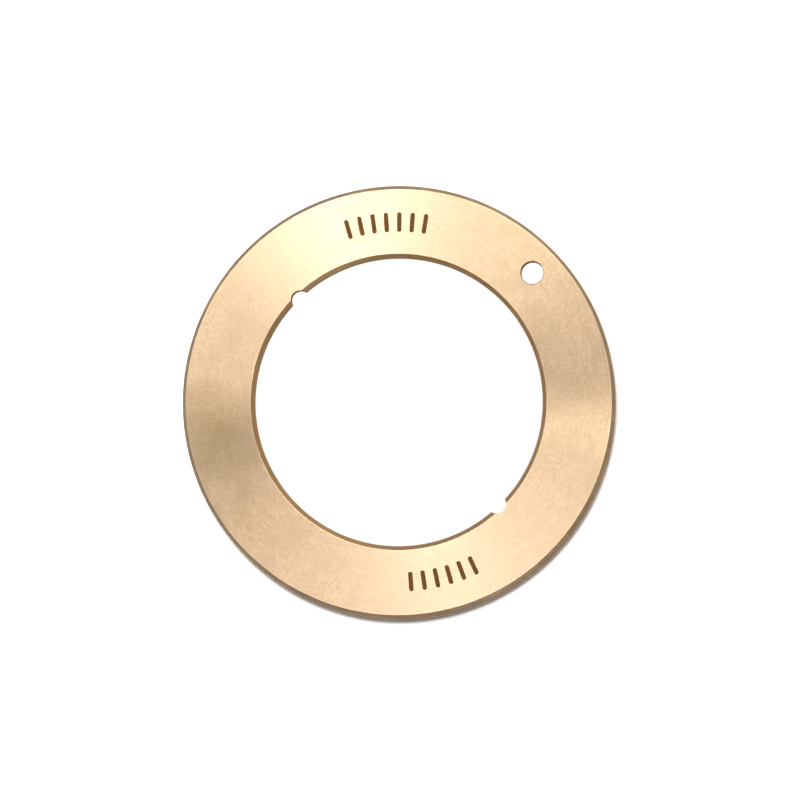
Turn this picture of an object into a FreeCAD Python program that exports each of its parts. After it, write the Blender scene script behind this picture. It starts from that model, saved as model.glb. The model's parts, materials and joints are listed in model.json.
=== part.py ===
import FreeCAD
import Part
import math
import os

# Trunnion washer: a flat bronze thrust ring that goes over the end of a trunnion shaft and
# takes the rubbing between a bogie's spring saddle and its bracket. A dowel pin keeps it from
# turning, and two notches in its bore let grease pass along the shaft.
#
# It is turned from one casting, so it is one solid of revolution with three cuts through it.
# The origin is on the ring's axis, in the plane of the lower face. +Z runs up along the axis.
# All lengths are in millimetres and all angles in degrees.

# Shaft that the washer goes over, and the room around it, both on the diameter
trunnion_diameter = 101.6
trunnion_clearance = 0.9

# Ring, with its width measured from the wall of the bore out to the rim
ring_width = 25.75
washer_thickness = 6.35
rim_chamfer = 1.25
bore_chamfer = 1.45

# Dowel pin, the room around it on the diameter, and its place inward from the rim
dowel_diameter = 7.94
dowel_clearance = 0.14
dowel_inset = 11.0
dowel_angle = 43.8
dowel_edge_break = 0.2

# Grease notches, with their depth measured outward from the wall of the bore
notch_radius = 3.3
notch_depth = 2.65
notch_from_dowel = 90.0

# How far a cutter stands out past the face that it goes through
overrun = 1.0

# Radii that follow from the sizes above
bore_radius = (trunnion_diameter + trunnion_clearance) / 2
rim_radius = bore_radius + ring_width
dowel_hole_radius = (dowel_diameter + dowel_clearance) / 2
dowel_circle_radius = rim_radius - dowel_inset
notch_center_radius = bore_radius + notch_depth - notch_radius

AXIS_POINT = FreeCAD.Vector(0, 0, 0)
AXIS_UP = FreeCAD.Vector(0, 0, 1)


def turned(profile):
    """Turn a closed profile of (radius, height) points once around the Z axis."""
    points = [FreeCAD.Vector(radius, 0, height) for radius, height in profile]
    outline = Part.makePolygon(points + points[:1])
    return Part.Face(outline).revolve(AXIS_POINT, AXIS_UP, 360)


def around_ring(shape, radius, angle):
    """Carry a shape from the Z axis out to a radius, then around the ring to an angle."""
    moved = shape.copy()
    moved.translate(FreeCAD.Vector(radius, 0, 0))
    moved.rotate(AXIS_POINT, AXIS_UP, angle)
    return moved


def ring_blank():
    """The turned ring: two flat faces, a rim and a bore, with a chamfer on all four edges."""
    return turned([
        (bore_radius + bore_chamfer, 0),
        (rim_radius - rim_chamfer, 0),
        (rim_radius, rim_chamfer),
        (rim_radius, washer_thickness - rim_chamfer),
        (rim_radius - rim_chamfer, washer_thickness),
        (bore_radius + bore_chamfer, washer_thickness),
        (bore_radius, washer_thickness - bore_chamfer),
        (bore_radius, bore_chamfer),
    ])


def dowel_cutter():
    """A drill that opens out at each face, which breaks the hole's sharp edges."""
    mouth_radius = dowel_hole_radius + dowel_edge_break + overrun
    return turned([
        (0, -overrun),
        (mouth_radius, -overrun),
        (dowel_hole_radius, dowel_edge_break),
        (dowel_hole_radius, washer_thickness - dowel_edge_break),
        (mouth_radius, washer_thickness + overrun),
        (0, washer_thickness + overrun),
    ])


def notch_cutter():
    """A plain round cutter that stands across both faces and leaves sharp edges."""
    base = FreeCAD.Vector(0, 0, -overrun)
    return Part.makeCylinder(notch_radius, washer_thickness + 2 * overrun, base, AXIS_UP)


def trunnion_washer():
    """The finished washer: the blank less the dowel hole and a notch on each side of it."""
    cutters = [around_ring(dowel_cutter(), dowel_circle_radius, dowel_angle)]
    for side in (1, -1):
        notch_angle = dowel_angle + side * notch_from_dowel
        cutters.append(around_ring(notch_cutter(), notch_center_radius, notch_angle))
    return ring_blank().cut(cutters).Solids[0]


washer = trunnion_washer()

os.makedirs("parts", exist_ok=True)
washer.exportStep("parts/trunnion_washer.step")

box = washer.BoundBox
print("rim diameter", round(2 * rim_radius, 3), "bore diameter", round(2 * bore_radius, 3))
print("box", round(box.XLength, 3), round(box.YLength, 3), round(box.ZLength, 3))
print("valid", washer.isValid(), "volume in cubic centimetres", round(washer.Volume / 1000, 3))
print("dowel hole at", round(dowel_circle_radius * math.cos(math.radians(dowel_angle)), 3),
      round(dowel_circle_radius * math.sin(math.radians(dowel_angle)), 3))
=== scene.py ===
# %% [markdown]
# # A turned bronze trunnion washer
#
# The washer is one flat ring of bronze. A lathe gives it two fine turned faces, a rim, a bore and
# a chamfer on every edge. A drill then makes one dowel hole near the rim, and a small round cutter
# makes two grease notches in the bore. This lesson makes it in the same order: spin the section,
# cut the holes, then finish the metal, and light it so that the turning marks show.

import json
import math

import bpy
from mathutils import Matrix, Vector


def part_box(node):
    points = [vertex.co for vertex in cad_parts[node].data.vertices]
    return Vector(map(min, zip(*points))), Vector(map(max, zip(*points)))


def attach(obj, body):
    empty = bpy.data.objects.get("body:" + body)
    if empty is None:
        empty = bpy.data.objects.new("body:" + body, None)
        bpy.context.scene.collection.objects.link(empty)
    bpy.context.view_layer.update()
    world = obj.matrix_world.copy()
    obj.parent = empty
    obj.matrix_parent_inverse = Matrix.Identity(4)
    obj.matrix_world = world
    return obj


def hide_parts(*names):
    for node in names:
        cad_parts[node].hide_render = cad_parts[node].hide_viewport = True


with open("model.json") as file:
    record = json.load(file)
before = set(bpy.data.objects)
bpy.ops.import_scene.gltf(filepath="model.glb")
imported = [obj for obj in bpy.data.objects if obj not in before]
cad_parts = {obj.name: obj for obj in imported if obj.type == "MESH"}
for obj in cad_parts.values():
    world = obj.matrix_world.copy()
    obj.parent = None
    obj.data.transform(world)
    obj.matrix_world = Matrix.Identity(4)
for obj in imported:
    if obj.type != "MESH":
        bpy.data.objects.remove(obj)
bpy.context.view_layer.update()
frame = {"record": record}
MM = 0.001

# %% [markdown]
# ## Sizes
#
# The loaded part already knows its own sizes. Its box gives the rim and the thickness, and its
# two round mounts give the bore and the dowel hole. A mount's length is the straight wall between
# two chamfers, so what is left of the thickness is the chamfers. No mount states the rim's chamfer
# or the fine rounding of every corner, so they are written here.

# %% Read the sizes from the frame
washer_low, washer_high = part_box("trunnion_washer")
thickness = washer_high.z - washer_low.z
rim_radius = washer_high.x
mounts = {mount["name"]: mount for mount in frame["record"]["mounts"]}


def round_mount(name):
    """A round mount's centre in metres, its radius, and the chamfer at each end of its wall."""
    mount = mounts[name]
    chamfer = (thickness - mount["dims"]["length_mm"] * MM) / 2
    return Vector(mount["pos_m"]), mount["dims"]["r_mm"] * MM, chamfer


_, bore_radius, bore_chamfer = round_mount("trunnion_bore")
dowel_center, dowel_radius, dowel_chamfer = round_mount("dowel_hole")
rim_chamfer = 1.25 * MM
corner_round = 0.08 * MM
print("rim", rim_radius, "bore", bore_radius, "dowel", dowel_radius, "thickness", thickness)

# %% [markdown]
# ## The section
#
# A cylinder with a smaller one cut out of it would also give a ring, but its corners would all be
# as sharp as a knife and its faces would be fans of long triangles. A lathe works on a section, so
# the mesh starts as one too: a small upright plane with the ring's width and thickness. Its four
# corners are bevelled into chamfers, and every corner then gets a tiny round, because real metal
# has one and it catches a thin line of light.

# %% Helpers for choosing what an operator acts on
def drop_selection():
    """Let go of everything, because the loaded washer is still selected."""
    bpy.ops.object.select_all(action="DESELECT")


def pick_up(*pieces):
    """Select these pieces alone, with the first of them active."""
    drop_selection()
    for piece in pieces:
        piece.select_set(True)
    bpy.context.view_layer.objects.active = pieces[0]


def open_edit(piece, kind, is_wanted):
    """Open a piece for editing, with only the corners, edges or faces that pass a test selected."""
    bpy.context.view_layer.objects.active = piece
    bpy.ops.object.mode_set(mode="EDIT")
    bpy.ops.mesh.select_mode(type=kind)
    bpy.ops.mesh.select_all(action="DESELECT")
    bpy.ops.object.mode_set(mode="OBJECT")
    parts = {"VERT": "vertices", "EDGE": "edges", "FACE": "polygons"}[kind]
    for part in getattr(piece.data, parts):
        part.select = is_wanted(part)
    bpy.ops.object.mode_set(mode="EDIT")


def close_edit():
    """Close the piece that is open for editing."""
    bpy.ops.object.mode_set(mode="OBJECT")


# %% Draw the section
ring_width = rim_radius - bore_radius
middle_radius = bore_radius + ring_width / 2

drop_selection()
bpy.ops.mesh.primitive_plane_add(
    size=1, location=(middle_radius, 0, thickness / 2), rotation=(math.pi / 2, 0, 0)
)
washer = bpy.context.object
washer.name = "turned_washer"
washer.scale = (ring_width, thickness, 1)
bpy.ops.object.transform_apply(location=True, rotation=True, scale=True)
print("the section is", round(ring_width / MM, 2), "by", round(thickness / MM, 2), "mm")

# %% Chamfer and round its corners
def bevel_corners(is_wanted, width, segments):
    """Bevel the corners of the section that pass a test."""
    open_edit(washer, "VERT", is_wanted)
    bpy.ops.mesh.bevel(offset=width, segments=segments, affect="VERTICES")
    close_edit()


bevel_corners(lambda corner: corner.co.x > middle_radius, rim_chamfer, segments=1)
bevel_corners(lambda corner: corner.co.x < middle_radius, bore_chamfer, segments=1)
bevel_corners(lambda corner: True, corner_round, segments=3)
print("the section has", len(washer.data.vertices), "points")

# %% [markdown]
# ## The spin
#
# Spinning the outline once around the axis makes the whole ring, as the lathe does. The plane's
# own face is deleted first, because it would stay inside the metal. The last step of the spin
# lands on the first, so the doubles are merged there and the normals are turned outward.

# %% Spin the section into a ring
spin_steps = 720
same_place = 1e-7

open_edit(washer, "VERT", lambda corner: True)
bpy.ops.mesh.delete(type="ONLY_FACE")
bpy.ops.mesh.select_all(action="SELECT")
bpy.ops.mesh.spin(
    steps=spin_steps, angle=2 * math.pi, center=(0, 0, 0), axis=(0, 0, 1), use_auto_merge=True
)
bpy.ops.mesh.select_all(action="SELECT")
bpy.ops.mesh.remove_doubles(threshold=same_place)
bpy.ops.mesh.normals_make_consistent(inside=False)
close_edit()
print("the spun ring has", len(washer.data.polygons), "faces")

# %% [markdown]
# ## The holes
#
# A drill and a round cutter are simple shapes, so a boolean with a copy of the tool is the plain
# way to make what they leave. The drill is a cylinder as long as the straight wall. Its two end
# faces are pushed out and widened, which opens the hole's mouth into a small chamfer. The notch
# cutter is a plain cylinder that stands over the edge of the bore, and a copy of it, turned half
# way round the ring, cuts the second notch.

# %% Shape the drill
overrun = 1.0 * MM
mouth_rise = dowel_chamfer + overrun
mouth_growth = (dowel_radius + mouth_rise) / dowel_radius


def round_tool(sides, radius, depth, place):
    """An upright cylinder, from which a cutting tool is shaped."""
    drop_selection()
    bpy.ops.mesh.primitive_cylinder_add(vertices=sides, radius=radius, depth=depth, location=place)
    bpy.ops.object.transform_apply(location=True, rotation=True, scale=True)
    return bpy.context.object


drill = round_tool(128, dowel_radius, thickness - 2 * dowel_chamfer, dowel_center)
straight_up = 0.99
for side in (1, -1):
    open_edit(drill, "FACE", lambda face: face.normal.z * side > straight_up)
    bpy.ops.mesh.extrude_region_move(TRANSFORM_OT_translate={"value": (0, 0, side * mouth_rise)})
    bpy.ops.transform.resize(
        value=(mouth_growth, mouth_growth, 1), center_override=tuple(dowel_center)
    )
    close_edit()
print("the drill has", len(drill.data.polygons), "faces")

# %% Shape the notch cutters
notch_radius = 3.3 * MM
notch_depth = 2.65 * MM
notch_center_radius = bore_radius + notch_depth - notch_radius
dowel_angle = math.atan2(dowel_center.y, dowel_center.x)
notch_angle = dowel_angle + math.pi / 2


def around_ring(radius, angle, height):
    """A point in the ring's frame, from its distance and direction from the axis."""
    return Vector((radius * math.cos(angle), radius * math.sin(angle), height))


def turned_copy(piece, angle):
    """A copy of a piece, with its own mesh, turned around the ring by an angle."""
    pick_up(piece)
    bpy.ops.object.duplicate()
    copied = bpy.context.object
    copied.rotation_euler = (0, 0, angle)
    bpy.ops.object.transform_apply(location=False, rotation=True, scale=False)
    return copied


notch_place = around_ring(notch_center_radius, notch_angle, thickness / 2)
notch_cutter = round_tool(96, notch_radius, thickness + 2 * overrun, notch_place)
notch_cutters = [notch_cutter, turned_copy(notch_cutter, math.pi)]
print("the notches stand at", round(math.degrees(notch_angle), 1), "degrees and half a turn on")

# %% Cut with each tool in turn
def cut(piece, tool):
    """Take the tool's shape out of the piece, then throw the tool away."""
    boolean = piece.modifiers.new("cut", "BOOLEAN")
    boolean.operation = "DIFFERENCE"
    boolean.solver = "EXACT"
    boolean.object = tool
    pick_up(piece)
    bpy.ops.object.modifier_apply(modifier=boolean.name)
    bpy.data.objects.remove(tool, do_unlink=True)


for tool in [drill, *notch_cutters]:
    cut(washer, tool)
print("the cut ring has", len(washer.data.polygons), "faces")

# %% [markdown]
# ## The etched bars
#
# A laser burns shallow marks into the upper face and leaves them with a brown floor, a few
# hundredths of a millimetre down. Here they are two rows of plain bars. A painted pattern would
# look flat from the side, so each bar is a real pocket with rounded ends. One block of a bar's
# size is shaped at the angle zero and copied around the ring, and the copies are joined into a
# single tool, so that one boolean cuts them all.

# %% Shape one bar
mark_radius = 64.0 * MM
bar_length = 7.0 * MM
bar_width = 1.6 * MM
bar_end_round = 0.45 * bar_width
etch_depth = 0.06 * MM
bar_height = etch_depth + overrun

drop_selection()
bpy.ops.mesh.primitive_cube_add(
    size=1, location=(mark_radius, 0, thickness - etch_depth + bar_height / 2)
)
first_bar = bpy.context.object
first_bar.scale = (bar_length, bar_width, bar_height)
bpy.ops.object.transform_apply(location=True, rotation=True, scale=True)


def is_upright(edge):
    """Whether an edge of the bar runs between its floor and its top."""
    start, end = (first_bar.data.vertices[i].co for i in edge.vertices)
    return abs(start.z - end.z) > etch_depth


open_edit(first_bar, "EDGE", is_upright)
bpy.ops.mesh.bevel(offset=bar_end_round, segments=6, affect="EDGES")
close_edit()
print("one bar has", len(first_bar.data.polygons), "faces")

# %% Copy it into two rows and cut them
bar_pitch = 4.6 * MM


def row_of_bars(middle_degrees, count):
    """Copies of the bar at an even pitch along the ring, centred on one direction."""
    step = bar_pitch / mark_radius
    middle = math.radians(middle_degrees)
    return [turned_copy(first_bar, middle + (i - (count - 1) / 2) * step) for i in range(count)]


bars = row_of_bars(middle_degrees=93.8, count=7) + row_of_bars(middle_degrees=284.3, count=6)
bpy.data.objects.remove(first_bar, do_unlink=True)
pick_up(*bars)
bpy.ops.object.join()
cut(washer, bars[0])
print(len(bars), "pockets cut, and the ring has", len(washer.data.polygons), "faces")

# %% [markdown]
# ## Smooth walls and flat faces
#
# Smooth shading rounds the look of the walls between their facets. It also bends the look of a
# flat face next to a rounded corner, because the corner pulls the normals at the face's edge
# outward. The Weighted Normal modifier gives the large faces the last word, so the flats stay
# flat and only the tiny corners shade from one side to the other.

# %% Smooth the washer
smooth_below_degrees = 20

pick_up(washer)
bpy.ops.object.shade_smooth_by_angle(angle=math.radians(smooth_below_degrees))
weighting = washer.modifiers.new("flat faces", "WEIGHTED_NORMAL")
weighting.mode = "FACE_AREA"
weighting.weight = 50
weighting.keep_sharp = True
bpy.ops.object.modifier_apply(modifier=weighting.name)
print("smoothed", washer.name, "where its faces meet at under", smooth_below_degrees, "degrees")

# %% [markdown]
# ## The turned faces
#
# A lathe tool leaves fine grooves that run around the ring. Light that lands on them is thrown
# wide across the grooves and stays narrow along them, and that draws the bright fans on a turned
# face. Grooves cut as geometry would take millions of triangles, so the shader's anisotropy does
# it. Its tangent is the direction in which the reflection is wide, and here that is the way out
# from the axis, worked out from the Object coordinates. The same coordinates stretch a noise into
# long thin streaks around the ring. The streaks vary the colour and the roughness a little and
# raise a very low bump, so that the face isn't one flat colour. Handling has left a few olive
# stains at the left side. They are soft round patches that tint the grooves and don't hide them.
# They also darken the grooves there, and that darkening is painted shade, on the side where the
# face's reflection is dim.

# %% Helpers for making materials and nodes
def new_material(name):
    """A new material, with its node tree and its shader."""
    material = bpy.data.materials.new(name)
    material.use_nodes = True
    tree = material.node_tree
    return material, tree, tree.nodes["Principled BSDF"]


def feed(tree, value, socket):
    """Link a socket when the value is another node's output, or else set it."""
    if isinstance(value, bpy.types.NodeSocket):
        tree.links.new(value, socket)
    elif value is not None:
        socket.default_value = value


def node(tree, kind, values=(), **settings):
    """Add a node, set its plain settings, and give its inputs values or links in order."""
    added = tree.nodes.new(kind)
    for name, setting in settings.items():
        setattr(added, name, setting)
    for socket, value in zip(added.inputs, values):
        feed(tree, value, socket)
    return added


def set_inputs(holder, values):
    """Write plain numbers and colours straight onto a node's own sockets."""
    for name, value in values.items():
        holder.inputs[name].default_value = value


# %% Helpers for sums, noises, blends and bumps
def maths(tree, operation, *values):
    """One Math node, and its result."""
    return node(tree, "ShaderNodeMath", values, operation=operation).outputs[0]


def vector_maths(tree, operation, *values, result="Vector"):
    """One Vector Math node, and its result."""
    return node(tree, "ShaderNodeVectorMath", values, operation=operation).outputs[result]


def noise(tree, vector, scale, detail=3.0, roughness=0.5):
    """A noise's value between about 0.25 and 0.75 along the given vector."""
    added = node(tree, "ShaderNodeTexNoise")
    feed(tree, vector, added.inputs["Vector"])
    set_inputs(added, {"Scale": scale, "Detail": detail, "Roughness": roughness})
    return added.outputs[0]


def ramp(tree, value, low, high, to_low=0.0, to_high=1.0):
    """A value carried from one range to another, and held at its ends."""
    return node(
        tree, "ShaderNodeMapRange", (value, low, high, to_low, to_high), clamp=True
    ).outputs[0]


def mixture(tree, *parts):
    """A sum of values, each with its own share."""
    total = 0.0
    for value, share in parts:
        total = maths(tree, "ADD", maths(tree, "MULTIPLY", value, share), total)
    return total


def blend(tree, factor, first, second):
    """A colour between two others."""
    mixer = tree.nodes.new("ShaderNodeMix")
    mixer.data_type = "RGBA"
    feed(tree, factor, mixer.inputs[0])
    feed(tree, first, mixer.inputs[6])
    feed(tree, second, mixer.inputs[7])
    return mixer.outputs[2]


def bump(tree, height, strength, distance, under=None):
    """The normal that a height gives, on top of another bump's normal if there is one."""
    added = node(tree, "ShaderNodeBump")
    set_inputs(added, {"Strength": strength, "Distance": distance})
    feed(tree, height, added.inputs["Height"])
    feed(tree, under, added.inputs["Normal"])
    return added.outputs[0]


# %% Helpers for patterns that follow the lathe
def place_on_part(tree):
    """The point's own place on the washer."""
    return tree.nodes.new("ShaderNodeTexCoord").outputs["Object"]


def way_out(tree, place):
    """The level direction from the axis to the point, one unit long."""
    level = vector_maths(tree, "MULTIPLY", place, (1, 1, 0))
    return vector_maths(tree, "NORMALIZE", level)


def distance_from_axis(tree, place):
    """How far the point is from the axis, in metres."""
    level = vector_maths(tree, "MULTIPLY", place, (1, 1, 0))
    return vector_maths(tree, "LENGTH", level, result="Value")


def lathe_streaks(tree, place, across, around, detail=3.0):
    """Noise that is fine across the grooves and long around them, with no seam."""
    turned = vector_maths(tree, "SCALE", way_out(tree, place))
    set_inputs(turned.node, {"Scale": around})
    out = maths(tree, "MULTIPLY", distance_from_axis(tree, place), across)
    level = node(tree, "ShaderNodeSeparateXYZ", (place,)).outputs[2]
    height = maths(tree, "MULTIPLY", level, across)
    both = maths(tree, "ADD", out, height)
    lifted = node(tree, "ShaderNodeCombineXYZ", (0.0, 0.0, both)).outputs[0]
    return noise(tree, vector_maths(tree, "ADD", turned, lifted), scale=1.0, detail=detail)


# %% Draw the lay and the grain of the turned face
turned_bronze, tree, shader = new_material("turned_bronze")
place = place_on_part(tree)
fine_lay = lathe_streaks(tree, place, across=1900, around=24)
broad_lay = lathe_streaks(tree, place, across=420, around=5, detail=2)
brush_marks = lathe_streaks(tree, place, across=260, around=120, detail=2)
grain = noise(tree, place, scale=2300, detail=2)
mottle = noise(tree, place, scale=800, detail=2)
cloud = noise(tree, place, scale=75, detail=4, roughness=0.66)

# The noises' shares add up to 1.17, and this brings their middle back to about a half.
back_to_half = -0.08
lay = mixture(
    tree,
    (fine_lay, 0.3),
    (broad_lay, 0.15),
    (brush_marks, 0.2),
    (grain, 0.26),
    (mottle, 0.26),
    (1.0, back_to_half),
)
print("the patterns take", len(tree.nodes), "nodes")

# %% Colour the grooves
brown_groove = (0.748, 0.52, 0.302, 1)
pale_groove = (0.876, 0.632, 0.388, 1)
cloud_brown = (0.705, 0.515, 0.292, 1)

streaked = blend(tree, ramp(tree, lay, 0.42, 0.58), brown_groove, pale_groove)
cloud_share = ramp(tree, cloud, 0.4, 0.66, to_high=0.6)
clouded = blend(tree, cloud_share, streaked, cloud_brown)
print("the grooves bring it to", len(tree.nodes), "nodes")

# %% Lay the stains and their painted shade over them
olive_and_shade_tint = (0.91, 0.885, 0.765)
stain_and_shade_spots = [
    {"degrees": 178, "from_axis": 67 * MM, "reach": 9 * MM, "share": 0.9},
    {"degrees": 186, "from_axis": 64 * MM, "reach": 13 * MM, "share": 0.95},
    {"degrees": 196, "from_axis": 65 * MM, "reach": 13 * MM, "share": 0.75},
    {"degrees": 219, "from_axis": 67 * MM, "reach": 13 * MM, "share": 1.0},
]


def stain_and_shade_patch(tree, place, degrees, from_axis, reach, share):
    """A soft round patch on the upper face: its share at the middle, and 0 past its reach."""
    middle = around_ring(from_axis, math.radians(degrees), thickness)
    away = vector_maths(tree, "DISTANCE", place, middle, result="Value")
    return ramp(tree, away, 0.0, reach, to_low=share, to_high=0.0)


stains_and_painted_shade = 0.0
for spot in stain_and_shade_spots:
    stains_and_painted_shade = maths(tree, "MAXIMUM", stain_and_shade_patch(tree, place, **spot), stains_and_painted_shade)
# The patches tint the left side olive and darken it: partly stain, partly painted shade where the
# face's reflection is dim.
uneven_stain_and_shade = maths(tree, "MULTIPLY", stains_and_painted_shade, ramp(tree, cloud, 0.35, 0.6, to_low=0.6))
olive_and_shaded = vector_maths(tree, "MULTIPLY", clouded, olive_and_shade_tint)
stained_and_shaded = blend(tree, uneven_stain_and_shade, clouded, olive_and_shaded)
print(len(stain_and_shade_spots), "stains bring it to", len(tree.nodes), "nodes")

# %% Add the pores and paint a bright highlight along the edges
pore_brown = (0.52, 0.35, 0.2, 1)
edge_highlight_bronze = (0.93, 0.69, 0.45, 1)
edge_highlight_width = 0.6 * MM

pores = ramp(tree, noise(tree, place, scale=900, detail=2), 0.71, 0.76, to_high=0.4)
speckled = blend(tree, pores, stained_and_shaded, pore_brown)

# The pale band along the face's rim and bore edges is a painted highlight, the thin line of light
# that an edge catches.
from_axis = distance_from_axis(tree, place)
rim_edge = rim_radius - rim_chamfer
bore_edge = bore_radius + bore_chamfer
rim_edge_highlight = ramp(tree, from_axis, rim_edge - edge_highlight_width, rim_edge)
bore_edge_highlight = ramp(tree, from_axis, bore_edge + edge_highlight_width, bore_edge)
near_edge_highlight = maths(tree, "MAXIMUM", rim_edge_highlight, bore_edge_highlight)
patchy = ramp(tree, broad_lay, 0.3, 0.6, to_low=0.2, to_high=0.8)
painted_edge_highlight = maths(tree, "MULTIPLY", near_edge_highlight, patchy)
feed(tree, blend(tree, painted_edge_highlight, speckled, edge_highlight_bronze), shader.inputs["Base Color"])
print("the whole colour brings it to", len(tree.nodes), "nodes")

# %% Give the turned face its shine and relief
face_roughness = 0.38
set_inputs(shader, {"Metallic": 1, "Anisotropic": 0.88})
feed(tree, way_out(tree, place), shader.inputs["Tangent"])

lay_roughness = ramp(tree, lay, 0.4, 0.6, to_low=-0.012, to_high=0.012)
cloud_roughness = ramp(tree, cloud, 0.35, 0.65, to_low=0.015, to_high=-0.015)
varied = maths(tree, "ADD", lay_roughness, cloud_roughness)
feed(tree, maths(tree, "ADD", varied, face_roughness), shader.inputs["Roughness"])

grooves = bump(tree, lay, strength=0.5, distance=0.004 * MM)
waves = bump(tree, cloud, strength=0.5, distance=0.05 * MM, under=grooves)
feed(tree, waves, shader.inputs["Normal"])
print("turned bronze has", len(tree.nodes), "nodes")

# %% [markdown]
# ## The chamfers and walls
#
# The edges are turned and drilled with a coarser cut, and nobody polishes them. They keep more
# oil and oxide, so they look browner and duller than the faces. The walls of the bore, the hole
# and the notches are the darkest, and that dark brown is painted shade for the shade that falls
# on them. The tool's marks still run around the ring, so the reflection is wide up and down the
# wall, and the tangent is the Z axis. Seen along its wall, bare metal turns white, so a specular
# tint keeps it brown there. One helper makes three finishes, for the rim's chamfer, the bore's
# chamfer and the walls, because only their browns and their oil differ.

# %% Make the bronze of the chamfers and the walls
def edge_bronze(name, brown, bright, oxide, oil):
    """The bronze of an edge: three colours and the share of the oil that lies on it."""
    material, tree, shader = new_material(name)
    set_inputs(shader, {
        "Metallic": 1,
        "Anisotropic": 0.2,
        "Coat Weight": oil,
        "Coat Roughness": 0.2,
        "Coat IOR": 1.8,
        "Specular Tint": (0.9, 0.65, 0.42, 1),
    })
    place = place_on_part(tree)
    lay = lathe_streaks(tree, place, across=3200, around=7)
    patches = lathe_streaks(tree, place, across=300, around=6, detail=4)
    turned = blend(tree, ramp(tree, lay, 0.35, 0.65), brown, bright)
    share = ramp(tree, patches, 0.45, 0.7, to_high=0.6)
    feed(tree, blend(tree, share, turned, oxide), shader.inputs["Base Color"])
    rough = ramp(tree, patches, 0.35, 0.65, to_low=0.4, to_high=0.5)
    feed(tree, rough, shader.inputs["Roughness"])
    upright = node(tree, "ShaderNodeCombineXYZ", (0.0, 0.0, 1.0)).outputs[0]
    feed(tree, upright, shader.inputs["Tangent"])
    feed(tree, bump(tree, lay, strength=0.5, distance=0.01 * MM), shader.inputs["Normal"])
    return material


rim_chamfer_bronze = edge_bronze(
    "rim_chamfer_bronze",
    brown=(0.27, 0.164, 0.068, 1),
    bright=(0.39, 0.24, 0.105, 1),
    oxide=(0.265, 0.184, 0.108, 1),
    oil=0.75,
)
bore_chamfer_bronze = edge_bronze(
    "bore_chamfer_bronze",
    brown=(0.33, 0.18, 0.06, 1),
    bright=(0.465, 0.272, 0.098, 1),
    oxide=(0.305, 0.19, 0.097, 1),
    oil=0.6,
)
# The walls' darkest browns are painted shade, for the shade that falls on them.
wall_bronze = edge_bronze(
    "wall_bronze",
    brown=(0.15, 0.082, 0.033, 1),
    bright=(0.22, 0.135, 0.065, 1),
    oxide=(0.14, 0.09, 0.05, 1),
    oil=0.05,
)
print("edge finishes", rim_chamfer_bronze.name, bore_chamfer_bronze.name, wall_bronze.name)

# %% [markdown]
# ## The floor of the etched bars
#
# The laser leaves a brown oxide with hardly any shine. Its passes are too fine to see, so a small
# grain that varies the brown and the roughness is enough.

# %% Make the etched bronze
dark_burn = (0.142, 0.058, 0.013, 1)
light_burn = (0.235, 0.102, 0.027, 1)

etched_bronze, tree, shader = new_material("etched_bronze")
set_inputs(shader, {"Metallic": 0.35, "Specular IOR Level": 0.2})
grain = noise(tree, place_on_part(tree), scale=2200, detail=3)
burnt = blend(tree, ramp(tree, grain, 0.35, 0.65), dark_burn, light_burn)
feed(tree, burnt, shader.inputs["Base Color"])
rough = ramp(tree, grain, 0.3, 0.7, to_low=0.5, to_high=0.68)
feed(tree, rough, shader.inputs["Roughness"])
feed(tree, bump(tree, grain, strength=0.6, distance=0.02 * MM), shader.inputs["Normal"])
print("etched bronze has", len(tree.nodes), "nodes")

# %% [markdown]
# ## Which finish goes where
#
# The finishes follow the cuts, so the place and the tilt of a face decide. Level faces at the full
# height or at the bottom are turned faces. Faces just under the upper face, on the circle of the
# marks, belong to the etched bars. Upright ones elsewhere are walls, and all that is left is
# chamfer.

# %% Give each face its finish
finishes = [turned_bronze, rim_chamfer_bronze, bore_chamfer_bronze, wall_bronze, etched_bronze]
washer.data.materials.clear()
for finish in finishes:
    washer.data.materials.append(finish)

level_tilt = 0.8
upright_tilt = 0.2
pocket_top = 0.2 * etch_depth
pocket_floor = 1.2 * etch_depth


def finish_of(face):
    """The place of a face's finish in the list of finishes."""
    down = thickness - face.center.z
    out = math.hypot(face.center.x, face.center.y)
    tilt = abs(face.normal.z)
    if pocket_top < down < pocket_floor and abs(out - mark_radius) < bar_length:
        return finishes.index(etched_bronze)
    if tilt > level_tilt and min(down, face.center.z) < etch_depth:
        return finishes.index(turned_bronze)
    if tilt < upright_tilt:
        return finishes.index(wall_bronze)
    return finishes.index(rim_chamfer_bronze if out > middle_radius else bore_chamfer_bronze)


for face in washer.data.polygons:
    face.material_index = finish_of(face)
for i, finish in enumerate(finishes):
    count = sum(face.material_index == i for face in washer.data.polygons)
    print(finish.name, "is on", count, "faces")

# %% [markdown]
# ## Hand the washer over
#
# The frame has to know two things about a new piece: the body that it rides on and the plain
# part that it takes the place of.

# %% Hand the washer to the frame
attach(washer, "root")
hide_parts("trunnion_washer")
print(washer.name, "takes the place of the plain washer")

# %% [markdown]
# ## The floor
#
# The washer lies on white paper. White paper under a soft light would come out a little grey, and
# more light would bleach the bronze. So the paper's own colour is stronger where the camera looks
# at it or the metal mirrors it, and plain where it only throws light back at the washer. The
# photograph shows pure white paper through the bore and the dowel hole, and a shadow outside the
# rim only. So the paper inside the ring glows for the camera alone, at a strength of 1, which is
# white. A much stronger colour would do that too, but it would spill over the bore's edge and make
# the chamfer look thin. The step between the two lies hidden under the ring.

# %% Make the white paper
plain_paper = (0.76, 0.76, 0.77, 1)
mirrored_paper = (2.05, 2.05, 2.05, 1)
seen_paper = (2.5, 2.5, 2.5, 1)
glow_start = rim_radius - 2 * MM
glow_full = rim_radius - 4 * MM

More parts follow.
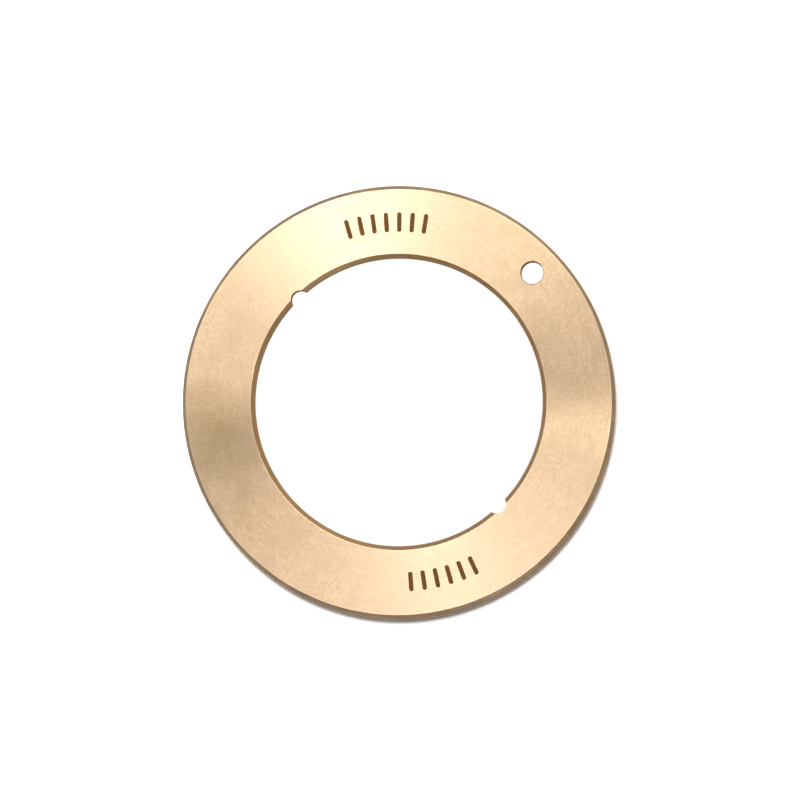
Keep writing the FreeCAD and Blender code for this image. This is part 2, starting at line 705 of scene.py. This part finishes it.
paper, tree, shader = new_material("white_paper")
tree.nodes.remove(shader)
matt = tree.nodes.new("ShaderNodeBsdfDiffuse")
rays = tree.nodes.new("ShaderNodeLightPath").outputs
shiny = maths(tree, "MAXIMUM", rays["Is Glossy Ray"], rays["Is Transmission Ray"])
unseen = blend(tree, shiny, plain_paper, mirrored_paper)
feed(tree, blend(tree, rays["Is Camera Ray"], unseen, seen_paper), matt.inputs["Color"])

glow = tree.nodes.new("ShaderNodeEmission")
paper.cycles.emission_sampling = "NONE"
from_axis = distance_from_axis(tree, place_on_part(tree))
inside = ramp(tree, from_axis, glow_full, glow_start, to_low=1, to_high=0)
glow_share = maths(tree, "MULTIPLY", inside, rays["Is Camera Ray"])
surface = node(tree, "ShaderNodeMixShader", (glow_share, matt.outputs[0], glow.outputs[0]))
feed(tree, surface.outputs[0], tree.nodes["Material Output"].inputs["Surface"])
print("the paper has", len(tree.nodes), "nodes")

# %% Lay the floor
floor_size = 6

drop_selection()
bpy.ops.mesh.primitive_plane_add(size=floor_size, location=(0, 0, washer_low.z))
floor = bpy.context.object
floor.name = "paper_floor"
floor.data.materials.append(paper)
print("the floor is", floor_size, "metres wide")

# %% [markdown]
# ## The light
#
# The light is plain and soft. The sky is dim, and darkest straight overhead, which keeps the faces
# from washing out. Eight soft boxes light the ring, half of them over its upper side. Each one
# draws a fan across the turned face on its own side and a fainter one on the far side. The main
# box is small, close to overhead and a little cool, and draws the pale fans at the top and bottom.
# The smallest box draws the streak at the right. A box that is small enough for a narrow fan
# throws a hard shadow, and eight boxes throw eight, so a ninth and wider one lights the paper. It
# hangs three metres off, so that the far paper is nearly as white as the near.
# Light linking keeps each box to what it is for. The washer still stands in the way of them all,
# so the paper keeps one short soft shadow.

# %% Make the sky
world = bpy.data.worlds.new("soft_studio")
bpy.context.scene.world = world
world.use_nodes = True
sky = world.node_tree
direction = sky.nodes.new("ShaderNodeTexCoord").outputs["Generated"]
up = node(sky, "ShaderNodeSeparateXYZ", (direction,)).outputs[2]
brightness = sky.nodes.new("ShaderNodeValToRGB")
feed(sky, up, brightness.inputs[0])
stops = brightness.color_ramp.elements
sky_levels = ((0.0, 0.48), (0.15, 0.42), (0.3, 0.2), (0.5, 0.07), (1.0, 0.045))
for height, level in sky_levels:
    stop = stops[0] if height == 0 else stops[-1] if height == 1 else stops.new(height)
    stop.color = (level, level, level, 1)
feed(sky, brightness.outputs[0], sky.nodes["Background"].inputs["Color"])
print("the sky has", len(stops), "levels, from the horizon up")

# %% Hang the soft boxes
def direction_to(azimuth, from_zenith):
    """The unit direction from the ring to something above it, from two angles in degrees."""
    azimuth, from_zenith = math.radians(azimuth), math.radians(from_zenith)
    return around_ring(math.sin(from_zenith), azimuth, math.cos(from_zenith))


def soft_box(name, azimuth, from_zenith, size, power, color=(1, 1, 1), distance=1.0):
    """A square lamp that hangs above the ring and looks at its centre."""
    lamp = bpy.data.lights.new(name, "AREA")
    lamp.shape = "SQUARE"
    lamp.size = size
    lamp.energy = power
    lamp.color = color
    holder = bpy.data.objects.new(name, lamp)
    bpy.context.scene.collection.objects.link(holder)
    holder.location = distance * direction_to(azimuth, from_zenith)
    holder.rotation_euler = holder.location.to_track_quat("Z", "Y").to_euler()
    return holder


cool = (0.98, 1, 1.14)
washer_boxes = [
    soft_box("main_soft_box", azimuth=115.5, from_zenith=15, size=0.1, power=1.75, color=cool),
    soft_box("side_soft_box", azimuth=46, from_zenith=39, size=0.7, power=3.18),
    soft_box("low_soft_box", azimuth=65, from_zenith=50, size=0.7, power=2.8),
    soft_box("back_soft_box", azimuth=150, from_zenith=40, size=0.5, power=1.25),
    soft_box("left_soft_box", azimuth=216, from_zenith=40, size=0.5, power=0.24),
    soft_box("right_soft_box", azimuth=334, from_zenith=15, size=0.2, power=0.5),
    soft_box("streak_soft_box", azimuth=356, from_zenith=42, size=0.05, power=1.6),
    soft_box("front_soft_box", azimuth=300, from_zenith=72, size=0.6, power=0.55),
]
paper_box = soft_box(
    "paper_soft_box", azimuth=107, from_zenith=18.5, size=0.96, power=48.0, distance=3.0
)
print(len(washer_boxes) + 1, "soft boxes hang")

# %% Say what each box lights
def light_only(boxes, thing):
    """Keep the light of some boxes to one thing."""
    receivers = bpy.data.collections.new(thing.name + "_light")
    receivers.objects.link(thing)
    for box in boxes:
        box.light_linking.receiver_collection = receivers
    print(len(boxes), "boxes light", thing.name, "alone")


light_only(washer_boxes, washer)
light_only([paper_box], floor)

# %% [markdown]
# ## The camera
#
# The camera looks almost straight down. It leans a few degrees to the lower right, which is why
# the hole shows its wall at the upper left only. It aims at a point just beside the axis, because
# the ring sits a little off the middle of the picture.

# %% Place the camera
camera_tilt = 4.9
camera_azimuth = -40
camera_distance = 2.5
picture_width = 284.06 * MM
sensor_width = 36
aim = Vector((0.62 * MM, 0.62 * MM, thickness))

camera_data = bpy.data.cameras.new("camera")
camera = bpy.data.objects.new("camera", camera_data)
bpy.context.scene.collection.objects.link(camera)
back = direction_to(camera_azimuth, camera_tilt)
right = Vector((0, 1, 0)).cross(back).normalized()
camera.location = aim + camera_distance * back
camera.rotation_euler = Matrix((right, back.cross(right), back)).transposed().to_euler()
camera_data.sensor_width = sensor_width
camera_data.lens = sensor_width * camera_distance / picture_width
camera_data.clip_end = 20
bpy.context.scene.camera = camera
bpy.context.scene.view_settings.view_transform = "Standard"
print("the camera's lens is", round(camera_data.lens, 1), "mm")
